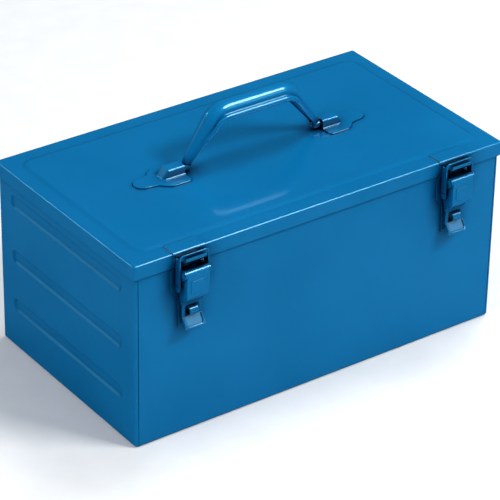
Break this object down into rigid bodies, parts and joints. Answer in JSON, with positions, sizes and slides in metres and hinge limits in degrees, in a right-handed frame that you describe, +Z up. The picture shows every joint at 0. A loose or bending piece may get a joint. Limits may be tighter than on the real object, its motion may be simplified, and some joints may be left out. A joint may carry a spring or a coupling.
{
  "type": "metal tool box",
  "caption": "Rectangular steel tool box with a lift-up lid, a folding centre handle, draw latches on the front, hinges at the back and pressed ribs in the ends.",
  "frame": {"origin": "middle of the flat underside, at the height the box stands on", "axes": "+X along the box's length, to the right seen from the latches; +Y from the latches to the hinges; +Z up"},
  "size_m": [0.412, 0.2521, 0.2517],
  "materials": {
    "blue_paint": "gloss",
    "zinc_steel": "satin"
  },
  "bodies": {
    "box_body": {"body_shell": "blue_paint", "end_panel_left": "blue_paint", "end_panel_right": "blue_paint", "hinge_body_rivets": "blue_paint", "latch_base_left": "blue_paint", "latch_base_rivets_left": "blue_paint", "lever_pin_left": "blue_paint", "hinge_body_leaf_left": "blue_paint", "hinge_pin_left": "zinc_steel", "latch_base_right": "blue_paint", "latch_base_rivets_right": "blue_paint", "lever_pin_right": "blue_paint", "hinge_body_leaf_right": "blue_paint", "hinge_pin_right": "zinc_steel"},
    "lid": {"lid_shell": "blue_paint", "saddle_left": "blue_paint", "saddle_right": "blue_paint", "hinge_lid_rivets": "blue_paint", "latch_catch_left": "blue_paint", "hinge_lid_leaf_left": "blue_paint", "latch_catch_right": "blue_paint", "hinge_lid_leaf_right": "blue_paint"},
    "handle": {"handle": "blue_paint"},
    "latch_lever_left": {"latch_lever_left": "blue_paint"},
    "link_pin_left": {"link_pin_left": "blue_paint"},
    "latch_link_left": {"latch_link_left": "blue_paint"},
    "latch_lever_right": {"latch_lever_right": "blue_paint"},
    "link_pin_right": {"link_pin_right": "blue_paint"},
    "latch_link_right": {"latch_link_right": "blue_paint"}
  },
  "joints": [
    {"name": "lid_hinge", "type": "hinge", "parent": "box_body", "child": "lid", "pos_m": [0, 0.1187, 0.1756], "axis": [-1, 0, 0], "range_deg": [0, 110]},
    {"name": "handle_swing", "type": "hinge", "parent": "lid", "child": "handle", "pos_m": [0, 0, 0.1959], "axis": [1, 0, 0], "range_deg": [-77, 77]},
    {"name": "lever_left", "type": "hinge", "parent": "box_body", "child": "latch_lever_left", "pos_m": [-0.148, -0.1265, 0.1725], "axis": [-1, 0, 0], "range_deg": [0, 90]},
    {"name": "link_pin_left", "type": "hinge", "parent": "latch_lever_left", "child": "link_pin_left", "pos_m": [-0.148, -0.1208, 0.157], "axis": [-1, 0, 0], "range_deg": [-48, 0]},
    {"name": "link_swing_left", "type": "hinge", "parent": "link_pin_left", "child": "latch_link_left", "pos_m": [-0.148, -0.1208, 0.157], "axis": [1, 0, 0], "range_deg": [0, 90]},
    {"name": "lever_right", "type": "hinge", "parent": "box_body", "child": "latch_lever_right", "pos_m": [0.148, -0.1265, 0.1725], "axis": [-1, 0, 0], "range_deg": [0, 90]},
    {"name": "link_pin_right", "type": "hinge", "parent": "latch_lever_right", "child": "link_pin_right", "pos_m": [0.148, -0.1208, 0.157], "axis": [-1, 0, 0], "range_deg": [-48, 0]},
    {"name": "link_swing_right", "type": "hinge", "parent": "link_pin_right", "child": "latch_link_right", "pos_m": [0.148, -0.1208, 0.157], "axis": [1, 0, 0], "range_deg": [0, 90]}
  ],
  "couplings": [
    {"joint": "link_pin_left", "follows": "lever_left", "ratio": -0.52},
    {"joint": "link_pin_right", "follows": "lever_right", "ratio": -0.52}
  ]
}
